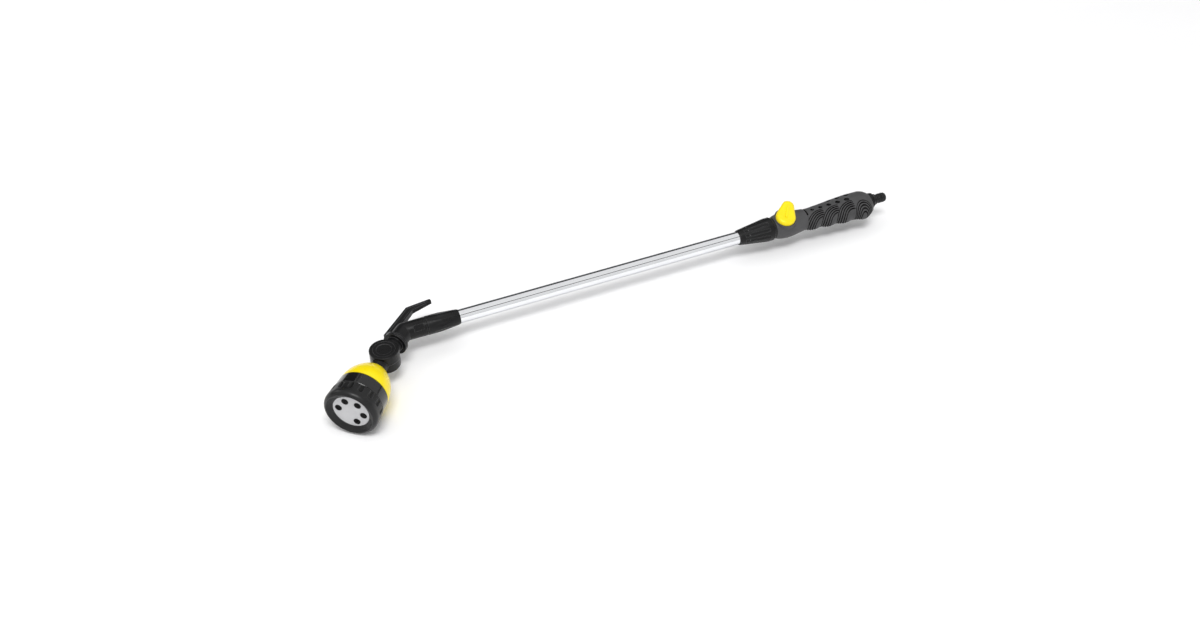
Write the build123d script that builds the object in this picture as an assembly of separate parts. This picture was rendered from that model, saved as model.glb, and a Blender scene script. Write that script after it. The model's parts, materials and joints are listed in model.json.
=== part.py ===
from build123d import *
import math
import os

# A telescopic garden watering wand. +X runs along the tubes towards the hose, the
# tilting spray head is at -X, and +Z is the axis on which the head tilts. The origin
# is on the tube axis, in the middle of the hose connector's sealing barrel.

# Clearances
press_gap = 0.02     # pieces pressed, glued or screwed together
shaft_gap = 0.05     # a round piece that turns or slides in its own bore
free_gap = 0.3       # moving pieces that only pass each other

# Hose connector and end collar
barrel_r, barrel_length = 7.3, 6.0
port_r = barrel_r - 2.7
nose_length = 6.0
lock_groove_r, lock_groove_length = barrel_r - 1.2, 5.6
lock_flange_r, lock_flange_length = barrel_r + 1.15, 4.4
groove_r = barrel_r - 1.7
spigot_r, spigot_length = lock_flange_r - 0.3, 5.0
collar_r, collar_length = lock_flange_r + 3.55, 7.0
collar_seat_r, collar_seat_depth = collar_r - 2.4, 6.0

# Water pipe through the grip
pipe_wall = 1.3
pipe_r = port_r + pipe_wall + 0.3
pipe_seat_depth = 18.0
spigot_seat_r, spigot_seat_depth = pipe_r + 3.6, 8.0

# Grip: how far the palm side, finger side and flanks stand from the tube axis. Its
# back end closes round the end collar, so it follows the collar's size.
handle_roll = 17.0
grip_length = 115.0
sleeve_wall, shell_wall = 2.2, 2.4
lobe_places = (0.09, 0.315, 0.54, 0.83)
lobe_height, lobe_half_width = 2.9, 0.125
palm_front, palm_back = 15.0, 1.5 * collar_r + 2.5
finger_front, finger_back = 16.6, 1.5 * collar_r + 7.2
flank_front, flank_back = 15.4, 1.5 * collar_r - 0.6
grip_sections = 22
hole_rows = (-77, -40, 0, 40, 77)
hole_r = 1.8
first_hole, hole_pitch = 0.113 * grip_length, 0.122 * grip_length
grip_screw_r, screw_head_r = 1.5, 2.7
screw_head_z = 5.6
screw_wall = 1.9

# Telescopic tubes
lance_reach = 753.0      # origin to the elbow's bend
tube_r, tube_wall = 9.5, 0.9
inner_tube_wall = 0.9
inner_tube_r = tube_r - tube_wall - 0.7
inner_tube_length = lance_reach - 290.0
piston_length = 18.0
clamp_nut_length = 55.7
clamp_nut_front_r = tube_r + 1.8
clamp_thread_r, clamp_thread_length = tube_r + 2.5, 11.0
collet_length = 9.0
flute_count, flute_r = 10, 4.2

# Flow valve: the ball and the valve's bore follow the inner tube
valve_length = 53.0
valve_bore_r = inner_tube_r + 1.7
valve_nose_r, valve_nose_length = valve_bore_r + 3.0, 18.0
clamp_nut_r = valve_nose_r + 4.9
ball_r = valve_bore_r - 1.1
seat_length, seat_reach = 6.5, ball_r + 4.5
spindle_r, spindle_collar_r = 4.0, 5.75
collar_z = ball_r + 1.8
gland_z = ball_r + 4.5
boss_height = gland_z + 4.6
valve_bulge_r = boss_height + 1.9
bumper_length = 3.0

# Knob: a round base with a thumb lever
knob_r, knob_tip_r, knob_reach = 14.6, 9.0, 30.3
knob_top = boss_height + 6.2
knob_turned = 37.0       # from closed, with the lever over the palm side, towards open
boss_r = knob_r + 2.2
knob_offset = valve_length - boss_r - 0.6

# Elbow, union nut and hanging hook
elbow_leg = 30.0
union_length = 46.4
union_r, union_front_r = tube_r + 3.6, tube_r + 1.0
spigot_thread_r = union_r - 1.8
elbow_r = union_r - 0.3
waterway_r = tube_r - 3.0
neck_angle = 45.0
neck_length = 51.6       # bend to the tilt axis
neck_spigot_r, neck_spigot_place = elbow_r - 3.2, 5.5
flange_r, flange_thickness, flange_place = elbow_r + 3.7, 2.5, 19.6
hook_offset, hook_width = elbow_r + 6.2, 11.5
hook_arm, hook_tip_length, hook_tip_rise, hook_tip_width = 42.0, 35.7, 5.8, 5.0
hook_half_thickness = 4.4
hook_rim, hook_recess = 2.6, 0.8

# Tilt hub
hub_r, hub_half_height = 19.5, 13.5
hub_floor = 4.0
hub_chamber_r = 13.0
stem_r, stem_wall = 10.0, 2.8
hub_neck_r = 11.5
hub_channel_r = 2.9
hub_bolt_r, hub_bolt_head_r = 2.5, 4.4
hub_cap_r, hub_cap_thickness = 14.5, 0.9

# Spray head, measured along its own axis from the tilt axis
head_angle = 50.0
head_neck_r = hub_neck_r - 1.0
bezel_r = 36.0
bell_start, bell_front = 30.0, 66.5
bell_narrow_r, bell_skirt_r, bell_wall = 16.0, bezel_r - 3.1, 2.4
bell_rim_r, bell_rim_length = bell_skirt_r - 2.6, 6.0
ring_length, ring_r = 18.3, bezel_r - 1.7
distributor_thickness = 4.5
seal_thickness = 1.0
nozzle_circle_r, nozzle_r, nozzle_count = 0.464 * bezel_r, 4.5, 5
nozzle_pitch = 60.0
nozzle_first = -69.0
port_angle = nozzle_first + 3 * nozzle_pitch
pointer_angle = port_angle - 26.0
bezel_length, bezel_rear_r, bezel_wall = 23.3, bezel_r - 1.0, 2.2
lip_depth = 5.6
plate_r, plate_thickness = bezel_r - 11.6, 2.0
scallop_count, scallop_r, scallop_length = 16, 4.6, 8.5
selector_screw_r, selector_head_r = 3.0, 5.6

# Stations along the tube axis
collar_face_x = -(barrel_length / 2 + lock_groove_length + lock_flange_length)
grip_back_x = collar_face_x - collar_length
grip_front_x = grip_back_x - grip_length
valve_front_x = grip_front_x - valve_length
knob_x = grip_front_x - knob_offset
valve_nose_x = valve_front_x - valve_nose_length
carrier_x = knob_x - seat_reach
tube_entry_x = carrier_x - 4.0
carrier_end_x = tube_entry_x - 8.3
tube_flange_thickness = 2.4
gland_x = carrier_end_x - 2 * free_gap - tube_flange_thickness
bumper_x = valve_front_x - bumper_length
nut_back_x = bumper_x - free_gap
nut_front_x = nut_back_x - clamp_nut_length
gland_head_x = valve_nose_x - 3.0
collet_back_x = gland_head_x - 3.0
sleeve_back_x = collet_back_x - collet_length
sleeve_front_x = sleeve_back_x - clamp_thread_length
inner_tube_end_x = tube_entry_x - free_gap - inner_tube_length
bend_x = -lance_reach
elbow_face_x = bend_x + elbow_leg
union_gap = 0.7
union_back_x = elbow_face_x + union_gap
union_front_x = union_back_x + union_length
tube_stop_x = bend_x + elbow_leg / 2
tube_seal_x = union_front_x - 19.0
hub_x = bend_x - neck_length * math.cos(math.radians(neck_angle))
hub_y = -neck_length * math.sin(math.radians(neck_angle))

# Frames: the grip is rolled about the tube, the neck starts at the bend, the head at the hub
grip_frame = Rot(X=handle_roll)
knob_place = Pos(knob_x, 0, 0) * Rot(Z=-knob_turned)
neck_frame = Pos(bend_x, 0, 0) * Rot(Z=180 + neck_angle)
hub_frame = Pos(hub_x, hub_y, 0) * Rot(Z=180 + neck_angle)
head_frame = Pos(hub_x, hub_y, 0) * Rot(Z=180 + head_angle)


def lathe(*outline):
    # a solid turned about X from a closed outline of (x, radius) points
    return revolve(make_face(Polyline(*outline, close=True)), axis=Axis.X)


def lathe_edges(*edges):
    # the same, from edges that may be curved
    return revolve(make_face(list(edges)), axis=Axis.X)


def ring(x0, x1, r_in, r_out):
    return lathe((x0, r_in), (x1, r_in), (x1, r_out), (x0, r_out))


def rod(x0, x1, r, y=0, z=0):
    return Pos((x0 + x1) / 2, y, z) * Rot(Y=90) * Cylinder(r, abs(x1 - x0))


def post(z0, z1, r, x=0, y=0):
    return Pos(x, y, (z0 + z1) / 2) * Cylinder(r, abs(z1 - z0))


def washer(z0, z1, r_in, r_out, x=0, y=0):
    return post(z0, z1, r_out, x, y) - post(z0 - 1, z1 + 1, r_in, x, y)


def x_oring(x, r_in, r_out):
    return Pos(x, 0, 0) * Rot(Y=90) * Torus((r_in + r_out) / 2, (r_out - r_in) / 2)


def z_oring(z, r_in, r_out, x=0):
    return Pos(x, 0, z) * Torus((r_in + r_out) / 2, (r_out - r_in) / 2)


def block(x0, x1, y0, y1, z0, z1):
    return Pos((x0 + x1) / 2, (y0 + y1) / 2, (z0 + z1) / 2) * Box(x1 - x0, y1 - y0, z1 - z0)


def hexagon(z0, z1, corner_r):
    return Pos(0, 0, z0) * extrude(RegularPolygon(corner_r, 6), z1 - z0)


def around_x(shape, count, start=0.0):
    return [Rot(X=start + i * 360 / count) * shape for i in range(count)]


def ease(share):
    # a soft start and stop between 0 and 1
    return 0.5 - 0.5 * math.cos(min(max(share, 0), 1) * math.pi)


# Grip

def lobe_share(share):
    # 1 on the crest of a finger lobe and 0 in the hollow between two
    distance = min(abs(share - place) for place in lobe_places)
    return 1 - ease(distance / lobe_half_width)


def grip_section(share, inset):
    palm = palm_front + (palm_back - palm_front) * ease(share / 0.75)
    finger = finger_front + (finger_back - finger_front) * share + lobe_height * lobe_share(share)
    flank = flank_front + (flank_back - flank_front) * share
    rounding = 1 - 0.34 * (max(share - 0.86, 0) / 0.14) ** 2
    half_height = (palm + finger) / 2 * rounding - inset
    plane = Plane(origin=(grip_front_x + share * grip_length, (palm - finger) / 2 * rounding, 0),
                  x_dir=(0, 1, 0), z_dir=(1, 0, 0))
    return plane * Ellipse(half_height, flank * rounding - inset)


def grip_form(inset):
    return loft([grip_section(i / grip_sections, inset) for i in range(grip_sections + 1)])


def palm_holes():
    # rows of drain holes across the palm, larger and wider apart towards the hose
    holes = []
    for row, angle in enumerate(hole_rows):
        place = grip_front_x + first_hole + 0.4 * hole_pitch * (row % 2)
        for step in range(5):
            hole = Rot(X=-90) * (Pos(0, 0, 15) * Cylinder(hole_r * (1 + 0.14 * step), 22))
            holes.append(Pos(place, 0, 0) * Rot(X=angle) * hole)
            place += hole_pitch * (1 + 0.05 * step)
    return holes


def grip_sleeve():
    sleeve = grip_form(0) - grip_form(sleeve_wall) - palm_holes()
    thumb_slot = block(grip_front_x - 1, grip_front_x + 2.6, 3, 40, -40, 40)
    return sleeve - thumb_slot


def screw_places():
    return ((grip_front_x + 0.16 * grip_length, -11.0), (grip_front_x + 0.6 * grip_length, 11.5),
            (grip_front_x + 0.83 * grip_length, -13.0))


def grip_shells():
    core = grip_form(sleeve_wall)
    hollow = grip_form(sleeve_wall + shell_wall)
    inner = hollow & block(grip_front_x + 9, grip_back_x - 8, -60, 60, -60, 60)
    for x, y in screw_places():
        inner -= post(-40, 40, grip_screw_r + screw_wall, x, y)
    core -= inner
    core -= rod(grip_front_x - 1, grip_back_x + 1, pipe_r + press_gap)
    core -= rod(grip_front_x - 1, grip_front_x + spigot_seat_depth, spigot_seat_r + press_gap)
    core -= rod(grip_back_x - collar_seat_depth, grip_back_x + 1, collar_seat_r + press_gap)
    for x, y in screw_places():
        core -= post(-7.5, 40, grip_screw_r, x, y)
        core -= post(screw_head_z, 40, screw_head_r + 0.1, x, y)
    upper = core & block(grip_front_x - 5, grip_back_x + 5, -60, 60, 0, 60)
    lower = core & block(grip_front_x - 5, grip_back_x + 5, -60, 60, -60, 0)
    return upper, lower


def grip_screws():
    screws = Part()
    head_top = screw_head_z + 1.9
    for x, y in screw_places():
        shank = post(-7, screw_head_z, grip_screw_r - press_gap, x, y)
        head = post(screw_head_z, head_top, screw_head_r, x, y)
        cross = Pos(x, y, head_top) * (Box(0.6, 3.2, 1.4) + Box(3.2, 0.6, 1.4))
        screws += shank + head - cross
    return screws


def water_pipe():
    return ring(grip_front_x - pipe_seat_depth, collar_face_x - spigot_length, pipe_r - pipe_wall, pipe_r)


def hose_connector():
    half = barrel_length / 2
    tip = half + nose_length
    flange = -half - lock_groove_length
    return lathe((collar_face_x - spigot_length, port_r), (tip, port_r), (tip, barrel_r - 1.4),
                 (tip - 1.4, barrel_r - 0.3), (half + 2.6, barrel_r - 0.3), (half + 2.6, groove_r),
                 (half, groove_r), (half, barrel_r), (-half, barrel_r), (-half - 1.2, lock_groove_r),
                 (flange + 1.0, lock_groove_r), (flange, lock_flange_r),
                 (flange - 2.2, lock_flange_r), (flange - 2.8, lock_flange_r - 0.9),
                 (collar_face_x, lock_flange_r - 0.9), (collar_face_x, spigot_r),
                 (collar_face_x - spigot_length, spigot_r))


def end_collar():
    inner_x = collar_face_x - spigot_length
    seat_x = grip_back_x - collar_seat_depth
    return lathe((seat_x, pipe_r + press_gap), (inner_x, pipe_r + press_gap),
                 (inner_x, spigot_r + press_gap), (collar_face_x, spigot_r + press_gap),
                 (collar_face_x, collar_r - 1.8), (collar_face_x - 1.6, collar_r - 0.4),
                 (grip_back_x, collar_r), (grip_back_x, collar_seat_r), (seat_x, collar_seat_r))


# Flow valve

def valve_body():
    tail_x = grip_front_x + spigot_seat_depth
    front_r, back_r = valve_bulge_r - 3.9, valve_bulge_r - 3.6
    bulge = Spline((grip_front_x, back_r), (grip_front_x - 14, valve_bulge_r - 1.7), (knob_x, valve_bulge_r),
                   (valve_front_x + 7, valve_bulge_r - 1.5), (valve_front_x, front_r))
    rest = Polyline((valve_front_x, front_r), (valve_front_x, valve_nose_r), (valve_nose_x, valve_nose_r),
                    (valve_nose_x, 0), (tail_x, 0), (tail_x, spigot_seat_r),
                    (grip_front_x, spigot_seat_r), (grip_front_x, back_r))
    body = lathe_edges(bulge, rest)
    body += post(0, boss_height, boss_r, knob_x)
    body -= post(boss_height - 1.6, boss_height + 5, knob_r + 0.5, knob_x)
    body -= rod(valve_nose_x - 1, knob_x + seat_reach, valve_bore_r)
    body -= rod(knob_x + seat_reach - 1, grip_front_x - pipe_seat_depth, port_r)
    body -= rod(grip_front_x - pipe_seat_depth, tail_x + 1, pipe_r + press_gap)
    body -= post(0, collar_z + 1, spindle_r + shaft_gap, knob_x)
    body -= post(collar_z, gland_z + 0.1, spindle_collar_r + shaft_gap, knob_x)
    body -= post(gland_z, boss_height, spindle_r + 3.5 + press_gap, knob_x)
    return body


def valve_ball():
    # closed when its bore lies across the wand; the slot on top takes the spindle's tongue
    ball = Sphere(ball_r) - Rot(X=90) * Cylinder(port_r, 4 * ball_r)
    slot = block(-1.6, 1.6, -ball_r, ball_r, ball_r - 2.6, ball_r + 1)
    return knob_place * (ball - slot)


def knob_spindle():
    tongue = block(-1.5, 1.5, -3.4, 3.4, ball_r - 2.5, ball_r + 1.5)
    stem = post(ball_r + 0.4, knob_top - 2.4, spindle_r)
    collar = post(collar_z + 0.1, gland_z - 0.1, spindle_collar_r)
    groove = washer(collar_z + 0.7, collar_z + 2, spindle_collar_r - 1.2, spindle_collar_r + 1)
    drive_flat = block(spindle_r - 0.9, spindle_r + 1, -5, 5, boss_height, knob_top)
    return knob_place * (tongue + stem + collar - groove - drive_flat)


def spindle_gland():
    gland = washer(gland_z, boss_height - 1.7, spindle_r + shaft_gap, spindle_r + 3.5)
    wrench_slot = block(spindle_r + 1.6, spindle_r + 5, -0.8, 0.8, gland_z + 1.9, boss_height)
    wrench_slots = [Rot(Z=90 * i) * wrench_slot for i in range(4)]
    return Pos(knob_x, 0, 0) * (gland - wrench_slots)


def valve_seat(side):
    # side is 1 towards the hose and -1 towards the tube; its mouth is hollowed to fit the ball
    cup_r = ball_r + shaft_gap
    mouth = seat_reach - seat_length
    seat_r = valve_bore_r - shaft_gap
    angles = (math.asin(port_r / cup_r), math.acos(mouth / cup_r))
    middle = sum(angles) / 2
    inner, halfway, outer = [(knob_x + side * cup_r * math.cos(a), cup_r * math.sin(a))
                             for a in (angles[0], middle, angles[1])]
    rest = Polyline(outer, (outer[0], seat_r), (knob_x + side * seat_reach, seat_r),
                    (knob_x + side * seat_reach, port_r), inner)
    return lathe_edges(ThreePointArc(inner, halfway, outer), rest)


def seat_carrier():
    bore = inner_tube_r + shaft_gap
    groove_r = bore + 1.1
    x0, x1 = carrier_end_x, carrier_x
    groove = x0 + 3.0
    return lathe((x0, bore), (groove, bore), (groove, groove_r), (groove + 1.3, groove_r),
                 (groove + 1.3, bore), (tube_entry_x, bore), (tube_entry_x, port_r + 0.8),
                 (x1, port_r + 0.8), (x1, valve_bore_r - shaft_gap), (x0, valve_bore_r - shaft_gap))


def tube_gland():
    bore = inner_tube_r + shaft_gap
    return lathe((gland_head_x, bore), (gland_x, bore), (gland_x, valve_bore_r - shaft_gap),
                 (valve_nose_x, valve_bore_r - shaft_gap), (valve_nose_x, valve_nose_r),
                 (gland_head_x + 0.8, valve_nose_r), (gland_head_x, valve_nose_r - 0.8))


def flow_knob():
    # a round base with a thumb lever that narrows towards the palm side
    lean = math.asin((knob_r - knob_tip_r) / (knob_reach - knob_tip_r))
    tip_y = knob_reach - knob_tip_r
    side_x, side_y = knob_r * math.cos(lean), knob_r * math.sin(lean)
    end_x, end_y = knob_tip_r * math.cos(lean), tip_y + knob_tip_r * math.sin(lean)
    plan = make_face([ThreePointArc((side_x, side_y), (0, -knob_r), (-side_x, side_y)),
                      Line((-side_x, side_y), (-end_x, end_y)),
                      ThreePointArc((-end_x, end_y), (0, knob_reach), (end_x, end_y)),
                      Line((end_x, end_y), (side_x, side_y))])
    lever_z = boss_height + 1.5
    lever = Pos(0, 0, lever_z) * extrude(plan, knob_top - lever_z)
    top_edges = lever.edges().group_by(Axis.Z)[-1]
    lever = fillet(top_edges, 2.6)
    base = post(boss_height - 1.3, lever_z + 0.5, knob_r)
    grip_rib = block(-2.2, 2.2, -4, knob_reach - 9, knob_top - 1, knob_top + 1.4)
    grip_rib = fillet(grip_rib.edges().filter_by(Axis.Z), 1.9)
    socket = post(boss_height - 2, knob_top - 2.4, spindle_r + press_gap)
    flat = block(spindle_r - 0.9 + press_gap, spindle_r + 1, -5, 5, boss_height, knob_top)
    return knob_place * (lever + base + grip_rib - (socket - flat))


# Telescopic tubes

def inner_tube():
    return ring(inner_tube_end_x, tube_entry_x - free_gap, inner_tube_r - inner_tube_wall, inner_tube_r)


def tube_flange():
    x1 = carrier_end_x - free_gap
    return ring(x1 - tube_flange_thickness, x1, inner_tube_r, valve_bore_r - free_gap)


def tube_piston():
    bore_r = tube_r - tube_wall
    head_r = bore_r - 1.6 * shaft_gap
    x0 = inner_tube_end_x - piston_length
    groove = x0 + piston_length / 2
    groove_r = bore_r - 1.6
    spigot = inner_tube_r - inner_tube_wall - press_gap
    return lathe((x0, 5.2), (inner_tube_end_x + 12, 5.2), (inner_tube_end_x + 12, spigot),
                 (inner_tube_end_x, spigot), (inner_tube_end_x, head_r), (groove + 1, head_r),
                 (groove + 1, groove_r), (groove - 1, groove_r), (groove - 1, head_r), (x0 + 1, head_r),
                 (x0, head_r - 1))


def piston_seal():
    bore_r = tube_r - tube_wall
    return x_oring(inner_tube_end_x - piston_length / 2, bore_r - 1.6, bore_r - shaft_gap)


def outer_tube():
    return ring(tube_stop_x, sleeve_back_x - 1, tube_r - tube_wall, tube_r)


def clamp_sleeve():
    return ring(sleeve_front_x, sleeve_back_x, tube_r + press_gap, clamp_thread_r)


def clamp_collet():
    # a cone that the nut squeezes on to the inner tube, slit from the handle end
    collet = lathe((sleeve_back_x, inner_tube_r + shaft_gap), (collet_back_x, inner_tube_r + shaft_gap),
                   (collet_back_x, clamp_thread_r - 1.5), (sleeve_back_x, clamp_thread_r - 0.4))
    slit = block(sleeve_back_x + 2.5, collet_back_x + 1, 0, 2 * clamp_thread_r, -0.6, 0.6)
    return collet - around_x(slit, 3)


def clamp_nut():
    hollow_r = valve_nose_r + 0.8
    shoulder_x = collet_back_x + free_gap
    body = lathe((nut_front_x, tube_r + free_gap), (sleeve_front_x - free_gap, tube_r + free_gap),
                 (sleeve_front_x - free_gap, clamp_thread_r + shaft_gap),
                 (sleeve_back_x, clamp_thread_r + shaft_gap), (shoulder_x, clamp_thread_r - 1.2),
                 (shoulder_x, inner_tube_r + 0.5), (shoulder_x + 1.4, inner_tube_r + 0.5),
                 (shoulder_x + 1.4, hollow_r), (nut_back_x, hollow_r), (nut_back_x, clamp_nut_r - 0.7),
                 (nut_back_x - 1.5, clamp_nut_r), (nut_back_x - 9, clamp_nut_r - 0.1),
                 (nut_front_x + 1.6, clamp_nut_front_r), (nut_front_x, clamp_nut_front_r - 0.9))
    run = clamp_nut_length - 10
    rise = clamp_nut_r - clamp_nut_front_r
    lean = math.degrees(math.atan2(rise, run))
    middle = (clamp_nut_r + clamp_nut_front_r) / 2 + flute_r - 0.75
    length = run - 9
    cutter = rod(-length / 2, length / 2, flute_r) + Pos(length / 2, 0, 0) * Sphere(flute_r)
    flute = Pos(nut_front_x + run / 2 + 3.5, 0, middle) * Rot(Y=-lean) * cutter
    return body - around_x(flute, flute_count, 18)


# Elbow and hook

def elbow_outside():
    face = flange_place
    leg = rod(elbow_face_x, bend_x, elbow_r) + Pos(bend_x, 0, 0) * Sphere(elbow_r)
    neck = rod(0, face, elbow_r) + rod(face, face + flange_thickness, flange_r)
    spigot = rod(tube_seal_x - 3, elbow_face_x, spigot_thread_r)
    return leg + neck_frame * neck + spigot


def elbow():
    socket = rod(tube_seal_x + 1, tube_stop_x, tube_r + press_gap)
    water = rod(tube_stop_x + 1, bend_x, waterway_r) + Pos(bend_x, 0, 0) * Sphere(waterway_r)
    neck = rod(0, flange_place, waterway_r) + rod(neck_spigot_place, flange_place + flange_thickness + 1,
                                                 neck_spigot_r)
    panel = Pos(elbow_face_x - 11, 0, 0) * Rot(X=48) * block(-7, 7, -4.2, 4.2, elbow_r - 0.9, elbow_r + 3)
    return elbow_outside() - socket - water - neck_frame * neck - panel


def union_nut():
    inner = spigot_thread_r + press_gap
    body = lathe((union_back_x, inner), (tube_seal_x, inner), (tube_seal_x, tube_r + press_gap),
                 (union_front_x, tube_r + press_gap), (union_front_x, union_front_r - 0.4),
                 (union_front_x - 1.2, union_front_r), (union_front_x - 5, union_front_r + 0.6),
                 (union_back_x + 20, union_r - 0.1), (union_back_x + 1, union_r),
                 (union_back_x, union_r - 0.8))
    flat_r = 16.0
    flat = Pos(union_back_x + 21, 0, union_r + flat_r - 0.75) * Rot(Y=2.6) * rod(-16, 16, flat_r)
    return body - around_x(flat, 8, 22.5)


def tube_seal():
    return ring(tube_seal_x - 3, tube_seal_x, tube_r + press_gap, spigot_thread_r)


def beside_neck(along, out):
    # a point beyond the bend on the neck's line, and out from that line on the palm side
    turn = math.radians(neck_angle)
    return (bend_x + along * math.cos(turn) - out * math.sin(turn),
            along * math.sin(turn) + out * math.cos(turn))


def hook_plan():
    # one arm carries on along the neck, the other runs back over the tube and narrows
    root = -flange_place
    corner = beside_neck(hook_arm, hook_offset)
    crook = beside_neck(hook_arm - 1, hook_offset - hook_width + 0.8)
    tip = (corner[0] + hook_tip_length, corner[1] + hook_tip_rise)
    under_tip = (tip[0] + 0.4, tip[1] - hook_tip_width)
    plan = make_face(Polyline(beside_neck(root, hook_offset), corner, tip, under_tip, crook,
                              beside_neck(root, hook_offset - hook_width), close=True))
    for point, radius in ((corner, 6.0), (crook, 3.0), (tip, 1.6)):
        nearest = plan.vertices().sort_by_distance(Vector(*point))[0]
        plan = fillet(nearest, radius)
    return plan


def hook_slab(plan, lowered):
    # the plan made solid, thinning from the elbow to the hook's tip
    thick, thin = hook_half_thickness + 0.6 - lowered, 0.55 * hook_half_thickness - 0.4 * lowered
    back_x, tip_x = bend_x - 32, bend_x + 56
    side = make_face(Polyline((back_x, -thick), (tip_x, -thin), (tip_x, thin), (back_x, thick), close=True))
    return Pos(0, 0, -20) * extrude(plan, 40) & Rot(X=90) * (Pos(0, 0, -80) * extrude(side, 160))


def hanging_hook():
    plan = hook_plan()
    panel = offset(plan, -hook_rim)
    hook = hook_slab(plan - panel, 0) + hook_slab(panel, hook_recess)
    return hook - elbow_outside() - elbow_leg_core()


def elbow_leg_core():
    return rod(elbow_face_x + 1, bend_x, elbow_r)


# Tilt hub

hub_split = free_gap / 2
chamber_floor = hub_half_height - hub_floor
cap_seat = hub_half_height - hub_cap_thickness - 0.3
opening_r = stem_r + shaft_gap
swing_r = hub_r + 0.6


def hub_socket():
    # the fixed half: a spigot in the elbow, a flange and the upper half of the barrel
    centre = neck_length
    face = flange_place + flange_thickness + 0.6
    inside = rod(neck_spigot_place + 0.5, face, neck_spigot_r - press_gap)
    flange = rod(face, face + flange_thickness, flange_r)
    neck = rod(face, centre - 6, hub_neck_r) - post(-40, hub_split, swing_r, centre)
    barrel = post(hub_split, hub_half_height, hub_r, centre)
    barrel = fillet(barrel.edges().group_by(Axis.Z)[-1], 1.2)
    half = inside + flange + neck + barrel
    half -= rod(0, face + 6, waterway_r)
    half -= rod(face, centre - hub_chamber_r + 3, hub_channel_r, 0, (hub_half_height - hub_floor + 3.5) / 2)
    half -= post(3.5, chamber_floor, hub_chamber_r, centre)
    half -= post(-1, 4, opening_r, centre)
    half -= post(0, 20, hub_bolt_r + press_gap, centre)
    half -= post(cap_seat - 1.7, 20, hub_bolt_head_r + 0.4, centre)
    half -= post(cap_seat, 20, hub_cap_r + press_gap, centre)
    return neck_frame * half


def hub_knuckle():
    # the tilting half: the lower barrel, its stem into the upper one and the head's neck
    barrel = post(-hub_half_height, -hub_split, hub_r)
    barrel = fillet(barrel.edges().group_by(Axis.Z)[0], 2.4)
    neck = rod(6, bell_start, hub_neck_r) + rod(bell_start - 1, bell_start + 9, head_neck_r)
    neck -= post(-hub_split, 40, swing_r)
    half = barrel + neck + post(-hub_split - 1, 3.2, stem_r)
    boss_top = -chamber_floor + 3.0
    chamber = post(-chamber_floor, -3.5, hub_chamber_r) - post(-chamber_floor, boss_top, 6)
    half -= chamber
    half -= post(-4, 5, stem_r - stem_wall)
    half -= rod(hub_chamber_r - 3, bell_start + 2, hub_channel_r, 0, -(hub_half_height - hub_floor + 3.5) / 2)
    half -= rod(bell_start, bell_start + 10, waterway_r)
    half -= post(-20, boss_top + 1, hub_bolt_r + shaft_gap)
    half -= post(-20, -cap_seat + 2.6, hub_bolt_head_r + 0.5)
    half -= post(-20, -cap_seat, hub_cap_r + press_gap)
    half -= washer(1.2, 2.5, stem_r - 1.1, stem_r + 1)
    return head_frame * half


def hub_oring():
    return head_frame * z_oring(1.85, stem_r - 1.1, stem_r)


def hub_bolt():
    shank = post(-cap_seat + 0.2, cap_seat - 1.7, hub_bolt_r)
    head = post(cap_seat - 1.7, cap_seat - 0.1, hub_bolt_head_r) - hexagon(cap_seat - 1.2, cap_seat, 2.3)
    return hub_frame * (shank + head)


def hub_nut():
    z0 = -cap_seat + 0.2
    return hub_frame * (hexagon(z0, z0 + 2.3, hub_bolt_head_r) - post(-20, 0, hub_bolt_r))


def hub_cap(side):
    disc = post(cap_seat, cap_seat + hub_cap_thickness, hub_cap_r)
    dish = post(cap_seat + hub_cap_thickness - 0.35, cap_seat + 5, hub_cap_r - 4.5)
    cap = disc - dish
    return hub_frame * cap if side > 0 else head_frame * (Rot(X=180) * cap)


# Spray head

rim_x = bell_front + bell_rim_length
distributor_x = rim_x + seal_thickness
distributor_face = distributor_x + distributor_thickness
ring_x = bell_front + 0.4
ring_face = ring_x + ring_length
drum_x = ring_face + free_gap
bezel_x = ring_face + 0.5
bezel_face = bezel_x + bezel_length
plate_face = bezel_face - lip_depth
plate_back = plate_face - plate_thickness
drum_r = bezel_rear_r - bezel_wall - press_gap
nozzle_back = plate_back - 8.0
screw_head_x = plate_back - 10.0


def nozzle_angle(i):
    return nozzle_first + i * nozzle_pitch


def on_nozzle_circle(shape, i):
    return Rot(X=nozzle_angle(i)) * (Pos(0, nozzle_circle_r, 0) * shape)


def bell_point(share, inset=0.0):
    # on the bell's outline: a quick flare, then a nearly straight skirt
    flare = math.sin(math.pi / 2 * share ** 0.8) ** 1.1 if share > 0 else 0
    return (bell_start + share * (bell_front - bell_start),
            bell_narrow_r + flare * (bell_skirt_r - bell_narrow_r) - inset)


def bell():
    inner_start = bell_start + 9.5
    outside = Spline(*[bell_point(share) for share in (0, 0.12, 0.27, 0.5, 0.76, 1)])
    front = Polyline(bell_point(1), (bell_front, bell_rim_r), (rim_x, bell_rim_r),
                     (rim_x, bell_rim_r - bell_wall), (bell_front + 0.8, bell_rim_r - bell_wall))
    inside = Spline((bell_front + 0.8, bell_rim_r - bell_wall), bell_point(0.75, bell_wall + 1.8),
                    bell_point(0.5, bell_wall + 1.2), (inner_start, bell_narrow_r + 3.5))
    back = Polyline((inner_start, bell_narrow_r + 3.5), (inner_start, head_neck_r + press_gap),
                    (bell_start, head_neck_r + press_gap), (bell_start, bell_narrow_r))
    return head_frame * lathe_edges(outside, front, inside, back)


def head_seal():
    return head_frame * ring(rim_x, distributor_x, bell_rim_r - bell_wall, bell_rim_r)


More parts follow.
